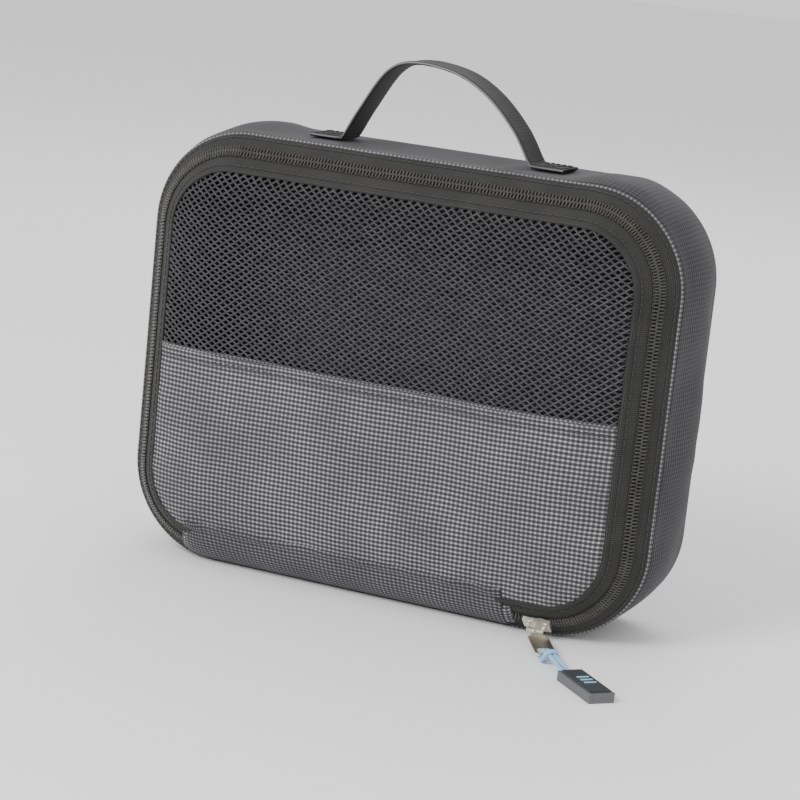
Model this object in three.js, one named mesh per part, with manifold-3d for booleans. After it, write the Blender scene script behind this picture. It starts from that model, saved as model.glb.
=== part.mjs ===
// A soft packing cube: a zipped travel pouch with a net window in its lid,
// a webbing handle on top and a metal zip pull with a cord and an end tag.
// Millimetres, +Z up. The cube stands on the floor at z = 0, its lid faces -Y.
import * as THREE from "three";
import { mergeVertices } from "three/addons/utils/BufferGeometryUtils.js";
import Module from "manifold-3d";

// Body
const bodyWidth = 240;
const bodyHeight = 190;
const cornerRadius = 42;
const backY = 32;
const gussetBackY = 30;
const gussetFrontY = -15.5;
const fabricWall = 1.6;
const bindingWidth = 2.2;
const gap = 0.3;

// Zip: a slanted band between the gusset and the lid
const zipInset = 8;
const zipY = -24.2;
const slant = Math.SQRT1_2;
const coilHalfWidth = 3;
const coilHalfThick = 0.8;
const tapeThick = 0.6;
const rightZipEnd = 62;
const leftZipEnd = -88;

// Lid
const lidInset = 17.5;
const lidEdgeY = -31.9;
const lidThick = 0.9;
const lidPuff = 6;
const seamZ = 96;
const seamHeight = 3;
const hingeZ = 17;

// Handle
const handleY = 8;
const webWidth = 20;
const webThick = 1.5;
const footLength = 16;
const ankleWidth = 3.6;
const ankleSpread = 1.8;
const footInnerX = 42;
const handleRise = 35;

// Slider, pull and tag
const sliderX = bodyWidth / 2 - cornerRadius;
const sliderLength = 12;
const sliderHalfWidth = 4;
const sliderTopLow = 1.3;
const sliderTopHigh = 2.9;
const sliderBaseLow = -3.0;
const sliderBaseHigh = -1.9;
const barHeight = 5.7;
const ringRadius = 1.8;
const ringWire = 0.45;
const pullYaw = THREE.MathUtils.degToRad(30);
const pullTilt = THREE.MathUtils.degToRad(2);
const pullThick = 1.0;
const eyeBarAt = 27.9;
const cordYaw = THREE.MathUtils.degToRad(46);
const cordDiameter = 1.8;
const cordReach = 21.5;
const tagLength = 28;
const tagWidth = 11;
const tagThick = 4;

const wasm = await Module();
wasm.setup();

const product = new THREE.Group();

function material(color, roughness, metalness) {
  return new THREE.MeshStandardMaterial({ color, roughness, metalness });
}

const darkFabric = [0x3a3a3f, 0.9, 0];
const lightFabric = [0x6c6c70, 0.9, 0];
const tapeFabric = [0x2d2d28, 0.85, 0];
const netFabric = [0x2c2d31, 0.95, 0];
const coilPlastic = [0x26261f, 0.5, 0];
const blackWeb = [0x222226, 0.85, 0];
const metal = [0xb9b5a6, 0.35, 0.9];
const cordBlue = [0x7fa8cc, 0.7, 0];
const tagRubber = [0x33363c, 0.6, 0];

function add(name, geometry, look, parent = product) {
  const mesh = new THREE.Mesh(geometry, material(...look));
  mesh.name = name;
  parent.add(mesh);
  return mesh;
}

// Keeps only positions, merges shared corners and turns the faces outwards.
function closed(source) {
  let geometry = source.clone();
  geometry.deleteAttribute("normal");
  geometry.deleteAttribute("uv");
  geometry = mergeVertices(geometry, 1e-4);
  const p = geometry.getAttribute("position");
  const index = geometry.getIndex().array;
  const a = new THREE.Vector3();
  const b = new THREE.Vector3();
  const c = new THREE.Vector3();
  let volume = 0;
  for (let i = 0; i < index.length; i += 3) {
    a.fromBufferAttribute(p, index[i]);
    b.fromBufferAttribute(p, index[i + 1]);
    c.fromBufferAttribute(p, index[i + 2]);
    volume += a.dot(b.cross(c)) / 6;
  }
  if (volume < 0) {
    for (let i = 0; i < index.length; i += 3) {
      const keep = index[i];
      index[i] = index[i + 1];
      index[i + 1] = keep;
    }
  }
  geometry.computeVertexNormals();
  return geometry;
}

function solid(geometry) {
  const clean = closed(geometry);
  const vertProperties = new Float32Array(clean.getAttribute("position").array);
  const triVerts = new Uint32Array(clean.getIndex().array);
  return new wasm.Manifold(new wasm.Mesh({ numProp: 3, vertProperties, triVerts }));
}

function fromSolid(body) {
  const mesh = body.getMesh();
  const geometry = new THREE.BufferGeometry();
  geometry.setAttribute("position", new THREE.BufferAttribute(new Float32Array(mesh.vertProperties), 3));
  geometry.setIndex(new THREE.BufferAttribute(new Uint32Array(mesh.triVerts), 1));
  geometry.computeVertexNormals();
  return geometry;
}

// Where the body's front outline is, `along` mm from the bottom centre (to the
// right, then up and round), pulled inwards by `inset`.
const straightX = bodyWidth / 2 - cornerRadius;
const straightZ = bodyHeight - 2 * cornerRadius;
const arcLength = (Math.PI / 2) * cornerRadius;
const runs = [
  { length: straightX },
  { length: arcLength, centre: [straightX, cornerRadius], from: -Math.PI / 2 },
  { length: straightZ },
  { length: arcLength, centre: [straightX, bodyHeight - cornerRadius], from: 0 },
  { length: 2 * straightX },
  { length: arcLength, centre: [-straightX, bodyHeight - cornerRadius], from: Math.PI / 2 },
  { length: straightZ },
  { length: arcLength, centre: [-straightX, cornerRadius], from: Math.PI },
  { length: straightX },
];
const perimeter = runs.reduce((sum, run) => sum + run.length, 0);
const straightStarts = {
  0: [0, 0, 1, 0],
  2: [bodyWidth / 2, cornerRadius, 0, 1],
  4: [straightX, bodyHeight, -1, 0],
  6: [-bodyWidth / 2, bodyHeight - cornerRadius, 0, -1],
  8: [-straightX, 0, 1, 0],
};

function outlineAt(along, inset) {
  let s = ((along % perimeter) + perimeter) % perimeter;
  let i = 0;
  while (i < runs.length - 1 && s > runs[i].length) {
    s -= runs[i].length;
    i += 1;
  }
  const run = runs[i];
  if (run.centre) {
    const angle = run.from + s / cornerRadius;
    const r = cornerRadius - inset;
    return [run.centre[0] + r * Math.cos(angle), run.centre[1] + r * Math.sin(angle)];
  }
  const [x, z, dx, dz] = straightStarts[i];
  return [x + dx * s - dz * inset, z + dz * s + dx * inset];
}

// Places along the outline where a bent piece needs a corner.
function stations(start, end, arcStep = 9, straightStep = 40) {
  const marks = [start];
  for (let lap = -1; lap <= 1; lap += 1) {
    let at = lap * perimeter;
    for (const run of runs) {
      const step = (run.centre ? arcStep : straightStep);
      const unit = run.centre ? (step * Math.PI * cornerRadius) / 180 : step;
      const count = Math.max(1, Math.round(run.length / unit));
      for (let k = 0; k < count; k += 1) {
        const s = at + (run.length * k) / count;
        if (s > start + 0.5 && s < end - 0.5) {
          marks.push(s);
        }
      }
      at += run.length;
    }
  }
  marks.push(end);
  marks.sort((p, q) => p - q);
  return marks;
}

// A flat bar bent round the outline. section(v, w) gives [inset, y].
function bentBar(start, end, rows, section) {
  const marks = stations(start, end);
  const count = marks.length - 1;
  const geometry = new THREE.BoxGeometry(1, 1, 1, count, rows, 1);
  const p = geometry.getAttribute("position");
  for (let i = 0; i < p.count; i += 1) {
    const u = Math.round((p.getX(i) + 0.5) * count);
    const [inset, y] = section(p.getY(i) + 0.5, p.getZ(i) + 0.5);
    const [x, z] = outlineAt(marks[u], inset);
    p.setXYZ(i, x, y, z);
  }
  return closed(geometry);
}

// Across (v) and outwards (w) on the slanted zip band.
function zipPoint(v, w) {
  return [zipInset + (v - w) * slant, zipY - (v + w) * slant];
}

function between(low, high, t) {
  return low + (high - low) * t;
}

// A skin whose outer face follows the points [inset, y], `thick` deep.
function skin(points, thick) {
  return (v, w) => {
    const at = v * (points.length - 1);
    const i = Math.min(points.length - 2, Math.floor(at + 1e-9));
    const t = at - i;
    const depth = w * thick * slant;
    const inset = between(points[i][0], points[i + 1][0], t);
    const y = between(points[i][1], points[i + 1][1], t);
    return [inset + depth, y + depth];
  };
}

// ---------------------------------------------------------------- gusset
// The band of woven cloth that makes the top and both sides.
add("gusset_band", bentBar(straightX + gap / 2, perimeter - straightX - gap / 2, 1, (v, w) => [
  w * fabricWall,
  between(gussetFrontY, gussetBackY, v),
]), darkFabric);

const basePanel = new THREE.BoxGeometry(2 * straightX - gap, gussetBackY - gussetFrontY, fabricWall);
basePanel.translate(0, (gussetBackY + gussetFrontY) / 2, fabricWall / 2);
add("base_panel", closed(basePanel), darkFabric);

// ---------------------------------------------------------------- back
// The flat back panel, and the bound seam that joins it to the gusset.
function roundedShape(inset) {
  const shape = new THREE.Shape();
  const hw = bodyWidth / 2 - inset;
  const low = inset;
  const high = bodyHeight - inset;
  const r = cornerRadius - inset;
  shape.moveTo(-hw + r, low);
  shape.lineTo(hw - r, low);
  shape.absarc(hw - r, low + r, r, -Math.PI / 2, 0, false);
  shape.lineTo(hw, high - r);
  shape.absarc(hw - r, high - r, r, 0, Math.PI / 2, false);
  shape.lineTo(-hw + r, high);
  shape.absarc(-hw + r, high - r, r, Math.PI / 2, Math.PI, false);
  shape.lineTo(-hw, low + r);
  shape.absarc(-hw + r, low + r, r, Math.PI, 1.5 * Math.PI, false);
  return shape;
}

const backDepth = backY - gussetBackY - gap;
const backPanel = new THREE.ExtrudeGeometry(roundedShape(bindingWidth + gap), {
  depth: backDepth,
  bevelEnabled: false,
  curveSegments: 10,
});
backPanel.rotateX(Math.PI / 2);
backPanel.translate(0, backY, 0);
add("back_panel", closed(backPanel), darkFabric);

add("back_binding", bentBar(gap / 2, perimeter - gap / 2, 1, (v, w) => [
  w * bindingWidth,
  between(gussetBackY + gap, backY, v),
]), blackWeb);

// ---------------------------------------------------------------- zip
// Outer tape, sewn to the gusset, with its half of the coil.
const outerTapeFace = [
  zipPoint(-coilHalfWidth - gap, tapeThick / 2),
  [1.5, -18],
  [0.5, gussetFrontY - gap - tapeThick * slant],
];
const zipStart = rightZipEnd;
const zipFinish = perimeter + leftZipEnd;
add("outer_tape", bentBar(zipStart, zipFinish, 2, skin(outerTapeFace, tapeThick)), tapeFabric);
add("outer_coil", bentBar(zipStart, zipFinish, 1, (v, w) => zipPoint(
  between(-coilHalfWidth, -gap / 2, v),
  between(-coilHalfThick, coilHalfThick, w),
)), coilPlastic);

// Inner tape and coil: the lid carries them above the fold line, and the
// two short feet below it stay with the body.
const innerTapeFace = [
  [lidInset - gap - tapeThick * slant, lidEdgeY + gap],
  [13.8, -29.9],
  zipPoint(coilHalfWidth + gap, tapeThick / 2),
];
const innerTape = solid(bentBar(zipStart, zipFinish, 2, skin(innerTapeFace, tapeThick)));
const innerCoil = solid(bentBar(zipStart, zipFinish, 1, (v, w) => zipPoint(
  between(gap / 2, coilHalfWidth, v),
  between(-coilHalfThick, coilHalfThick, w),
)));

function slab(xLow, xHigh, zLow, zHigh) {
  const box = new THREE.BoxGeometry(xHigh - xLow, 4 * backY, zHigh - zLow);
  box.translate((xLow + xHigh) / 2, 0, (zLow + zHigh) / 2);
  return solid(box);
}

const half = bodyWidth;
const aboveFold = slab(-half, half, hingeZ + gap / 2, 2 * bodyHeight);
const belowRight = slab(0, half, -half, hingeZ - gap / 2);
const belowLeft = slab(-half, 0, -half, hingeZ - gap / 2);
add("inner_tape", fromSolid(innerTape.intersect(aboveFold)), tapeFabric);
add("inner_tape_foot_right", fromSolid(innerTape.intersect(belowRight)), tapeFabric);
add("inner_tape_foot_left", fromSolid(innerTape.intersect(belowLeft)), tapeFabric);
add("inner_coil", fromSolid(innerCoil.intersect(aboveFold)), coilPlastic);
add("inner_coil_foot_right", fromSolid(innerCoil.intersect(belowRight)), coilPlastic);
add("inner_coil_foot_left", fromSolid(innerCoil.intersect(belowLeft)), coilPlastic);

// Folded cloth over each end of the zip.
const endCap = (v, w) => zipPoint(between(-6, 6, v), between(1.1, 2, w));
add("zip_end_right", bentBar(rightZipEnd + gap, rightZipEnd + 4.5, 1, endCap), lightFabric);
add("zip_end_left", bentBar(leftZipEnd - 4.5, leftZipEnd - gap, 1, endCap), lightFabric);

// The strip along the bottom that the lid folds on, between the zip ends.
const stripFace = [
  [lidInset - 1, lidEdgeY + gap],
  [8, -26.6],
  [2.6, -20.8],
  [gap, gussetFrontY - gap - lidThick * slant],
];
const hingeStrip = bentBar(leftZipEnd + gap, rightZipEnd - gap, 3, skin(stripFace, lidThick));
add("hinge_strip", fromSolid(solid(hingeStrip).intersect(slab(-half, half, 0, hingeZ - gap / 2))), lightFabric);

// ---------------------------------------------------------------- lid
function lidHalfWidth(z) {
  const r = cornerRadius - lidInset;
  let dz = 0;
  if (z < cornerRadius) {
    dz = cornerRadius - z;
  } else if (z > bodyHeight - cornerRadius) {
    dz = z - (bodyHeight - cornerRadius);
  }
  return straightX + Math.sqrt(Math.max(0, r * r - dz * dz));
}

// How far the filled lid swells in front of its edge.
function swell(x, z) {
  const qx = x / (bodyWidth / 2 - lidInset);
  const qz = (z - bodyHeight / 2) / (bodyHeight / 2 - lidInset);
  return lidPuff * (1 - Math.min(1, qx ** 4)) * (1 - Math.min(1, qz ** 4));
}

// A lid panel between two heights. Rows bunch up where the corner turns.
function lidPanel(zLow, zHigh, rows, columns, lift, thick) {
  const geometry = new THREE.BoxGeometry(1, 1, 1, columns, 1, rows);
  const p = geometry.getAttribute("position");
  const towardsTop = zHigh > bodyHeight / 2 + seamHeight;
  for (let i = 0; i < p.count; i += 1) {
    const u = p.getX(i) * 2;
    const t = p.getZ(i) + 0.5;
    const eased = towardsTop ? Math.sin((t * Math.PI) / 2) : 1 - Math.cos((t * Math.PI) / 2);
    const z = between(zLow, zHigh, eased);
    const x = u * lidHalfWidth(z);
    const back = (p.getY(i) + 0.5) * thick;
    p.setXYZ(i, x, lidEdgeY - swell(x, z) - lift + back, z);
  }
  return closed(geometry);
}

add("net_panel", lidPanel(seamZ + gap / 2, bodyHeight - lidInset, 14, 16, 0, lidThick), netFabric);
add("fabric_panel", lidPanel(lidInset, seamZ - gap / 2, 14, 16, 0, lidThick), lightFabric);
add("seam_band", lidPanel(seamZ - seamHeight / 2, seamZ + seamHeight / 2, 1, 16, 1.1, 0.8), lightFabric);

// ---------------------------------------------------------------- handle
// Webbing arch, with a flat foot sewn down at each end in a crossed square.
// Low down the webbing gathers to a narrow ankle, so that the arch can lean
// over on its fold line without its edges digging into the gusset.
const archTop = bodyHeight + gap + webThick;
const arch = new THREE.CatmullRomCurve3([
  [-footInnerX + 1, 0.02],
  [-34, 0.42],
  [-24, 0.8],
  [-9, 1],
  [9, 0.95],
  [25, 0.71],
  [36, 0.36],
  [footInnerX - 1, 0.02],
].map(([x, rise]) => new THREE.Vector3(x, handleY, archTop + gap + rise * handleRise)));
const archSteps = 28;
const webbing = new THREE.BoxGeometry(1, 1, 1, archSteps, 1, 1);
const webPoints = webbing.getAttribute("position");
for (let i = 0; i < webPoints.count; i += 1) {
  const t = webPoints.getX(i) + 0.5;
  const centre = arch.getPointAt(t);
  const along = arch.getTangentAt(t);
  const off = webPoints.getZ(i) * webThick;
  const width = Math.min(webWidth, ankleWidth + ankleSpread * (centre.z - archTop - gap));
  webPoints.setXYZ(
    i,
    centre.x - along.z * off,
    handleY + webPoints.getY(i) * width,
    centre.z + along.x * off + (t < 0.01 || t > 0.99 ? webThick / 2 : 0),
  );
}
add("handle_webbing", closed(webbing), blackWeb);

function crossedSquare(size, thread) {
  const outer = size / 2;
  const inner = outer - thread;
  const cut = thread * Math.SQRT1_2 * 1.4;
  const shape = new THREE.Shape();
  shape.moveTo(-outer, -outer);
  shape.lineTo(outer, -outer);
  shape.lineTo(outer, outer);
  shape.lineTo(-outer, outer);
  for (let k = 0; k < 4; k += 1) {
    const angle = (k * Math.PI) / 2;
    const turn = (x, y) => [x * Math.cos(angle) - y * Math.sin(angle), x * Math.sin(angle) + y * Math.cos(angle)];
    const hole = new THREE.Path();
    hole.moveTo(...turn(cut, 0));
    hole.lineTo(...turn(inner, inner - cut));
    hole.lineTo(...turn(inner, -inner + cut));
    shape.holes.push(hole);
  }
  return shape;
}

for (const [side, name] of [[-1, "left"], [1, "right"]]) {
  const middleX = side * (footInnerX + footLength / 2);
  const foot = new THREE.BoxGeometry(footLength, webWidth, webThick);
  foot.translate(middleX, handleY, bodyHeight + gap + webThick / 2);
  add(`handle_foot_${name}`, closed(foot), blackWeb);
  const stitch = new THREE.ExtrudeGeometry(crossedSquare(footLength - 3, 0.9), { depth: 0.5, bevelEnabled: false });
  stitch.translate(middleX, handleY, archTop + gap);
  add(`foot_stitch_${name}`, closed(stitch), blackWeb);
}

// ---------------------------------------------------------------- slider
// Two plates either side of the coil and a bridge that carries the pull.
const sliderFrame = new THREE.Matrix4().makeBasis(
  new THREE.Vector3(1, 0, 0),
  new THREE.Vector3(0, -slant, slant),
  new THREE.Vector3(0, -slant, -slant),
);
sliderFrame.setPosition(sliderX, zipY, zipInset);

function sliderPlate(low, high) {
  const shape = new THREE.Shape();
  const noseX = sliderLength / 2;
  shape.moveTo(-noseX, -sliderHalfWidth * 0.72);
  shape.lineTo(-noseX * 0.2, -sliderHalfWidth * 0.72);
  shape.lineTo(noseX * 0.35, -sliderHalfWidth);
  shape.lineTo(noseX, -sliderHalfWidth * 0.8);
  shape.lineTo(noseX, sliderHalfWidth * 0.8);
  shape.lineTo(noseX * 0.35, sliderHalfWidth);
  shape.lineTo(-noseX * 0.2, sliderHalfWidth * 0.72);
  shape.lineTo(-noseX, sliderHalfWidth * 0.72);
  const plate = new THREE.ExtrudeGeometry(shape, { depth: high - low, bevelEnabled: false });
  plate.translate(0, 0, low);
  plate.applyMatrix4(sliderFrame);
  return closed(plate);
}

add("slider_top", sliderPlate(sliderTopLow, sliderTopHigh), metal);
add("slider_base", sliderPlate(sliderBaseLow, sliderBaseHigh), metal);

const bridgeHalf = 4;
const bridgeFoot = sliderTopHigh + gap;
const bridgeTop = barHeight + 0.5;
const bridgeShape = new THREE.Shape();
bridgeShape.moveTo(-bridgeHalf, bridgeFoot);
bridgeShape.lineTo(-bridgeHalf + 1, bridgeFoot);
bridgeShape.lineTo(-bridgeHalf + 1, barHeight - 0.5);
bridgeShape.lineTo(bridgeHalf - 1, barHeight - 0.5);
bridgeShape.lineTo(bridgeHalf - 1, bridgeFoot);
bridgeShape.lineTo(bridgeHalf, bridgeFoot);
bridgeShape.lineTo(bridgeHalf - 0.6, bridgeTop);
bridgeShape.lineTo(-bridgeHalf + 0.6, bridgeTop);
const bridgeWidth = 1.5;
const bridge = new THREE.ExtrudeGeometry(bridgeShape, { depth: bridgeWidth, bevelEnabled: false });
bridge.translate(0, 0, -bridgeWidth / 2);
bridge.rotateX(Math.PI / 2);
bridge.applyMatrix4(sliderFrame);
add("slider_bridge", closed(bridge), metal);

// ---------------------------------------------------------------- pull
// A wire ring round the bridge, and a flat plate with a D-shaped eye.
const barY = zipY - barHeight * slant;
const barZ = zipInset - barHeight * slant;
const ring = new THREE.TorusGeometry(ringRadius, ringWire, 8, 20);
ring.rotateY(Math.PI / 2);
ring.translate(sliderX, barY, barZ);
add("pull_ring", closed(ring), metal);

const plateShape = new THREE.Shape();
const neckHalf = 2.2;
const plateHalf = 4.4;
const plateStart = 3.3;
const plateEnd = eyeBarAt + 1;
plateShape.moveTo(-neckHalf, -plateStart);
plateShape.lineTo(-neckHalf, -plateStart - 2.5);
plateShape.lineTo(-plateHalf, -plateStart - 5);
plateShape.lineTo(-plateHalf, -plateEnd + 1.5);
plateShape.lineTo(-plateHalf + 1.5, -plateEnd);
plateShape.lineTo(plateHalf - 1.5, -plateEnd);
plateShape.lineTo(plateHalf, -plateEnd + 1.5);
plateShape.lineTo(plateHalf, -plateStart - 5);
plateShape.lineTo(neckHalf, -plateStart - 2.5);
plateShape.lineTo(neckHalf, -plateStart);
const eye = new THREE.Path();
const eyeHalf = 3.2;
const eyeNear = -eyeBarAt + 1;
eye.moveTo(-eyeHalf, eyeNear);
eye.lineTo(eyeHalf, eyeNear);
eye.absarc(0, eyeNear + 2.2, eyeHalf, 0, Math.PI, false);
plateShape.holes.push(eye);
const plate = new THREE.ExtrudeGeometry(plateShape, { depth: pullThick, bevelEnabled: false, curveSegments: 8 });
plate.translate(0, 0, -pullThick / 2);
plate.rotateX(pullTilt);
plate.rotateZ(pullYaw);
plate.translate(sliderX, barY, barZ);
add("pull_plate", closed(plate), metal);

// ---------------------------------------------------------------- cord and tag
// The cord goes round the eye's end bar and both of its ends enter the tag.
const knotX = sliderX + eyeBarAt * Math.sin(pullYaw);
const knotY = barY - eyeBarAt * Math.cos(pullYaw);
const barLevel = barZ - eyeBarAt * Math.sin(pullTilt);

function onCord(reach, side, z) {
  return new THREE.Vector3(
    knotX + reach * Math.sin(cordYaw) + side * Math.cos(cordYaw),
    knotY - reach * Math.cos(cordYaw) + side * Math.sin(cordYaw),
    z,
  );
}

const cordRadius = cordDiameter / 2;
const clear = pullThick / 2 + gap + 0.1 + cordRadius;
const tagEntry = tagThick / 2;
const cordPath = new THREE.CatmullRomCurve3([
  onCord(cordReach, -1.3, tagEntry),
  onCord(14, -1.2, 1.5),
  onCord(5, -1.1, 1.2),
  onCord(0.5, -0.7, barLevel - clear),
  onCord(-2.4, -0.3, barLevel - 0.6),
  onCord(-2.4, 0.3, barLevel + 0.6),
  onCord(0.5, 0.7, barLevel + clear),
  onCord(5, 1.1, barLevel + 0.9),
  onCord(14, 1.2, 2.6),
  onCord(cordReach, 1.3, tagEntry),
], false, "centripetal");
const cordSection = new THREE.Shape();
const cordSides = 8;
for (let k = 0; k < cordSides; k += 1) {
  const angle = (k * 2 * Math.PI) / cordSides;
  const point = [cordRadius * Math.cos(angle), cordRadius * Math.sin(angle)];
  if (k === 0) {
    cordSection.moveTo(...point);
  } else {
    cordSection.lineTo(...point);
  }
}
const cordTube = new THREE.ExtrudeGeometry(cordSection, { steps: 40, bevelEnabled: false, extrudePath: cordPath });
add("pull_cord", closed(cordTube), cordBlue);

const tagGroup = new THREE.Group();
const tagMiddle = onCord(cordReach + gap + tagLength / 2, 0, 0);
tagGroup.position.copy(tagMiddle);
tagGroup.rotation.z = cordYaw;
product.add(tagGroup);

function tagBlock(width, length, low, high) {
  const block = new THREE.BoxGeometry(width, length, high - low);
  block.translate(0, 0, (low + high) / 2);
  return closed(block);
}

add("tag", tagBlock(tagWidth, tagLength, 0, tagThick), tagRubber, tagGroup);
add("tag_pad", tagBlock(tagWidth - 2.4, tagLength - 3, tagThick + gap, tagThick + 0.8), tagRubber, tagGroup);

export default product;
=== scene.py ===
import math
import bmesh
import bpy
from mathutils import Matrix, Vector, noise


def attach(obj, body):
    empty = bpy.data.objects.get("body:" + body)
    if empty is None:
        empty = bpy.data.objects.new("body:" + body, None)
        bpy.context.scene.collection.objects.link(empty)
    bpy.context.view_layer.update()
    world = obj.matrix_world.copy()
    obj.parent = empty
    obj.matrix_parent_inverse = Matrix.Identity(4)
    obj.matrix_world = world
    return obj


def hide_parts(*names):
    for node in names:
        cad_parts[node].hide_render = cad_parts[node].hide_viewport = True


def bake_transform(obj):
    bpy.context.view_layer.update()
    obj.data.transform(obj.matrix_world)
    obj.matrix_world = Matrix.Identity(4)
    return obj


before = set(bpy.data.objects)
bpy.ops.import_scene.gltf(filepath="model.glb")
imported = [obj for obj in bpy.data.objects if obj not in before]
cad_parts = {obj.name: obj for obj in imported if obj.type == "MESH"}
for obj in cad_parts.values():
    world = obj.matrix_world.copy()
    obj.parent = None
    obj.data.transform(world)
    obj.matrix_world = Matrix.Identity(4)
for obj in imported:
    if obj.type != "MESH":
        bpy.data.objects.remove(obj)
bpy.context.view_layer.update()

# ---------------------------------------------------------------- studio
# A plain pale floor and soft lights. The camera stands in front and to the
# right, a little above the cube, and is rolled so that the cube leans.
MM = 0.001


def plain(name, colour, roughness):
    mat = bpy.data.materials.new(name)
    mat.use_nodes = True
    shader = mat.node_tree.nodes["Principled BSDF"]
    shader.inputs["Base Color"].default_value = (*colour, 1)
    shader.inputs["Roughness"].default_value = roughness
    return mat


floor_mesh = bpy.data.meshes.new("studio_floor")
reach = 6.0
floor_mesh.from_pydata(
    [(-reach, -reach, 0), (reach, -reach, 0), (reach, reach, 0), (-reach, reach, 0)],
    [], [(0, 1, 2, 3)],
)
studio_floor = bpy.data.objects.new("studio_floor", floor_mesh)
bpy.context.collection.objects.link(studio_floor)
floor_mesh.materials.append(plain("studio_paper", (0.9, 0.9, 0.9), 0.8))

world = bpy.data.worlds.new("studio_air")
bpy.context.scene.world = world
world.use_nodes = True
world.node_tree.nodes["Background"].inputs["Color"].default_value = (1, 1, 1, 1)
world.node_tree.nodes["Background"].inputs["Strength"].default_value = 1.05


def soft_light(name, place, size, power):
    lamp = bpy.data.lights.new(name, "AREA")
    lamp.size = size
    lamp.energy = power
    obj = bpy.data.objects.new(name, lamp)
    obj.location = place
    aim = Vector((0, 0, 0.09)) - Vector(place)
    obj.rotation_euler = aim.to_track_quat("-Z", "Y").to_euler()
    bpy.context.collection.objects.link(obj)


soft_light("key_light", (-0.55, -1.3, 1.1), 0.7, 26)
soft_light("fill_light", (1.2, -1.3, 0.5), 0.8, 5)
soft_light("rim_light", (-0.2, 1.2, 1.2), 0.8, 7)

camera_azimuth = math.radians(22)
camera_height = math.radians(12)
camera_roll = math.radians(6)
camera_distance = 1.05
camera_aim = Vector((0.004, -0.02, 0.088))
away = Vector((
    math.sin(camera_azimuth) * math.cos(camera_height),
    -math.cos(camera_azimuth) * math.cos(camera_height),
    math.sin(camera_height),
))
lens = bpy.data.cameras.new("studio_camera")
lens.lens = 112
camera = bpy.data.objects.new("studio_camera", lens)
camera.location = camera_aim + away * camera_distance
turn = (-away).to_track_quat("-Z", "Y") @ Matrix.Rotation(camera_roll, 4, "Z").to_quaternion()
camera.rotation_euler = turn.to_euler()
bpy.context.collection.objects.link(camera)
bpy.context.scene.camera = camera

# ---------------------------------------------------------------- pull cord
# A thin light-blue braided cord, doubled and hitched round the end bar of
# the pull's eye. Both of its ends are moulded into the end tag.
ZIP_INSET = 8.0
ZIP_Y = -24.2
SLANT = math.sqrt(0.5)
SLIDER_X = 78.0
BAR_HEIGHT = 5.7
bar_y = ZIP_Y - BAR_HEIGHT * SLANT
bar_z = ZIP_INSET - BAR_HEIGHT * SLANT
pull_yaw = math.radians(30)
cord_yaw = math.radians(46)
eye_bar_at = 27.9
knot = Vector((
    SLIDER_X + eye_bar_at * math.sin(pull_yaw),
    bar_y - eye_bar_at * math.cos(pull_yaw),
    bar_z - eye_bar_at * math.sin(math.radians(2)),
))
cord_radius = 0.9
cord_reach = 21.5


def on_cord(reach_mm, side, rise):
    return Vector((
        knot.x + reach_mm * math.sin(cord_yaw) + side * math.cos(cord_yaw),
        knot.y - reach_mm * math.cos(cord_yaw) + side * math.sin(cord_yaw),
        knot.z + rise,
    )) * MM


half_route = [
    (cord_reach, 1.25, -0.95),
    (17, 1.2, -0.75),
    (12, 1.1, 0.1),
    (8, 1.0, 0.9),
    (5, 0.95, 1.35),
    (2.4, 0.95, 1.65),
    (0, 1.0, 1.62),
    (-1.9, 1.15, 1.0),
    (-2.5, 1.5, 0),
    (-1.9, 1.9, -1.0),
    (0, 2.15, -1.6),
    (2.0, 2.6, -1.3),
    (3.8, 2.9, 0.4),
    (4.7, 2.4, 2.2),
]
route = [on_cord(a, -b, h) for a, b, h in half_route]
route.append(on_cord(5.0, 0, 3.15))
route += [on_cord(a, b, h) for a, b, h in reversed(half_route)]


def smooth_line(points, parts=6):
    line = []
    padded = [points[0] * 2 - points[1], *points, points[-1] * 2 - points[-2]]
    for i in range(1, len(padded) - 2):
        p0, p1, p2, p3 = padded[i - 1:i + 3]
        for k in range(parts):
            t = k / parts
            line.append(
                0.5 * (2 * p1 + (p2 - p0) * t + (2 * p0 - 5 * p1 + 4 * p2 - p3) * t ** 2
                       + (3 * p1 - p0 - 3 * p2 + p3) * t ** 3)
            )
    line.append(points[-1].copy())
    return line


def eased_line(line, step, rounds):
    """The same line with its points evenly spaced and its bends relaxed."""
    marks = [0.0]
    for a, b in zip(line, line[1:]):
        marks.append(marks[-1] + (b - a).length)
    count = int(round(marks[-1] / step))
    even = []
    at = 0
    for i in range(count + 1):
        want = marks[-1] * i / count
        while at < len(marks) - 2 and marks[at + 1] < want:
            at += 1
        even.append(line[at].lerp(line[at + 1], (want - marks[at]) / (marks[at + 1] - marks[at])))
    for _ in range(rounds):
        even = [even[0]] + [
            (a + b * 2 + c) / 4 for a, b, c in zip(even, even[1:], even[2:])
        ] + [even[-1]]
    return even


cord_line = eased_line(smooth_line(route), 0.35 * MM, 6)
cord_curve = bpy.data.curves.new("pull_cord_braid", "CURVE")
cord_curve.dimensions = "3D"
cord_curve.bevel_depth = cord_radius * MM
cord_curve.bevel_resolution = 3
cord_curve.use_fill_caps = True
spline = cord_curve.splines.new("POLY")
spline.points.add(len(cord_line) - 1)
for point, place in zip(spline.points, cord_line):
    point.co = (*place, 1)
pull_cord_braid = bpy.data.objects.new("pull_cord_braid", cord_curve)
bpy.context.collection.objects.link(pull_cord_braid)


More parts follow.
